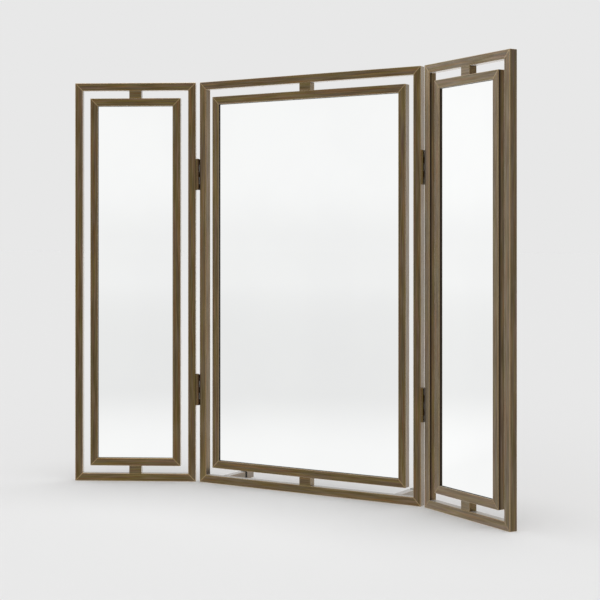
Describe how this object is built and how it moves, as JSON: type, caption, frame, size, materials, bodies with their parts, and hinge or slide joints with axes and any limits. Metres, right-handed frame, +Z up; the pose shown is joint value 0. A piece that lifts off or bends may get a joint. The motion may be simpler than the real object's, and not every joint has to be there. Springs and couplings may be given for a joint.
{
  "type": "dressing table mirror",
  "caption": "Free-standing folding triptych mirror for a dressing table: double frames of mitred square tube, hinged wings and rear feet.",
  "frame": {"origin": "middle of the centre panel's underside, where it stands on the table", "axes": "+Z up, -Y towards the viewer, +X to the viewer's right; wings folded forward by 28.5 degrees at rest"},
  "size_m": [0.928, 0.2157, 0.78],
  "materials": {
    "bronze_tube": "brushed antique bronze plating on steel tube",
    "hinge_bronze": "antique bronze plating, darker in the joints",
    "foot_cap": "brushed antique bronze with a blackened neck",
    "mirror_glass": "silvered glass with a polished arris",
    "backing_board": "fibreboard, stained dark",
    "tab_steel": "zinc plated",
    "screw_steel": "zinc plated"
  },
  "bodies": {
    "centre": {"centre_outer_bottom_tube": "bronze_tube", "centre_outer_right_tube": "bronze_tube", "centre_outer_top_tube": "bronze_tube", "centre_outer_left_tube": "bronze_tube", "centre_inner_bottom_tube": "bronze_tube", "centre_inner_right_tube": "bronze_tube", "centre_inner_top_tube": "bronze_tube", "centre_inner_left_tube": "bronze_tube", "centre_bottom_stub": "bronze_tube", "centre_top_stub": "bronze_tube", "centre_mirror_glass": "mirror_glass", "centre_backing_board": "backing_board", "centre_glass_tabs": "tab_steel", "centre_tab_screws": "screw_steel", "centre_hinge_screws": "hinge_bronze", "left_upper_hinge_centre_leaf": "hinge_bronze", "left_lower_hinge_centre_leaf": "hinge_bronze", "left_hinge_pins": "hinge_bronze", "left_foot_tube": "bronze_tube", "left_foot_cap": "foot_cap", "right_upper_hinge_centre_leaf": "hinge_bronze", "right_lower_hinge_centre_leaf": "hinge_bronze", "right_hinge_pins": "hinge_bronze", "right_foot_tube": "bronze_tube", "right_foot_cap": "foot_cap"},
    "left_wing": {"left_wing_outer_bottom_tube": "bronze_tube", "left_wing_outer_right_tube": "bronze_tube", "left_wing_outer_top_tube": "bronze_tube", "left_wing_outer_left_tube": "bronze_tube", "left_wing_inner_bottom_tube": "bronze_tube", "left_wing_inner_right_tube": "bronze_tube", "left_wing_inner_top_tube": "bronze_tube", "left_wing_inner_left_tube": "bronze_tube", "left_wing_bottom_stub": "bronze_tube", "left_wing_top_stub": "bronze_tube", "left_wing_mirror_glass": "mirror_glass", "left_wing_backing_board": "backing_board", "left_wing_glass_tabs": "tab_steel", "left_wing_tab_screws": "screw_steel", "left_wing_hinge_screws": "hinge_bronze", "left_upper_hinge_wing_leaf": "hinge_bronze", "left_lower_hinge_wing_leaf": "hinge_bronze"},
    "right_wing": {"right_wing_outer_bottom_tube": "bronze_tube", "right_wing_outer_right_tube": "bronze_tube", "right_wing_outer_top_tube": "bronze_tube", "right_wing_outer_left_tube": "bronze_tube", "right_wing_inner_bottom_tube": "bronze_tube", "right_wing_inner_right_tube": "bronze_tube", "right_wing_inner_top_tube": "bronze_tube", "right_wing_inner_left_tube": "bronze_tube", "right_wing_bottom_stub": "bronze_tube", "right_wing_top_stub": "bronze_tube", "right_wing_mirror_glass": "mirror_glass", "right_wing_backing_board": "backing_board", "right_wing_glass_tabs": "tab_steel", "right_wing_tab_screws": "screw_steel", "right_wing_hinge_screws": "hinge_bronze", "right_upper_hinge_wing_leaf": "hinge_bronze", "right_lower_hinge_wing_leaf": "hinge_bronze"}
  },
  "joints": [
    {"name": "left_wing_fold", "type": "hinge", "parent": "centre", "child": "left_wing", "pos_m": [-0.24375, -0.0095, 0.39], "axis": [0, 0, 1], "range_deg": [-38.5, 151.5]},
    {"name": "right_wing_fold", "type": "hinge", "parent": "centre", "child": "right_wing", "pos_m": [0.24375, -0.0095, 0.39], "axis": [0, 0, -1], "range_deg": [-38.5, 151.5]}
  ]
}
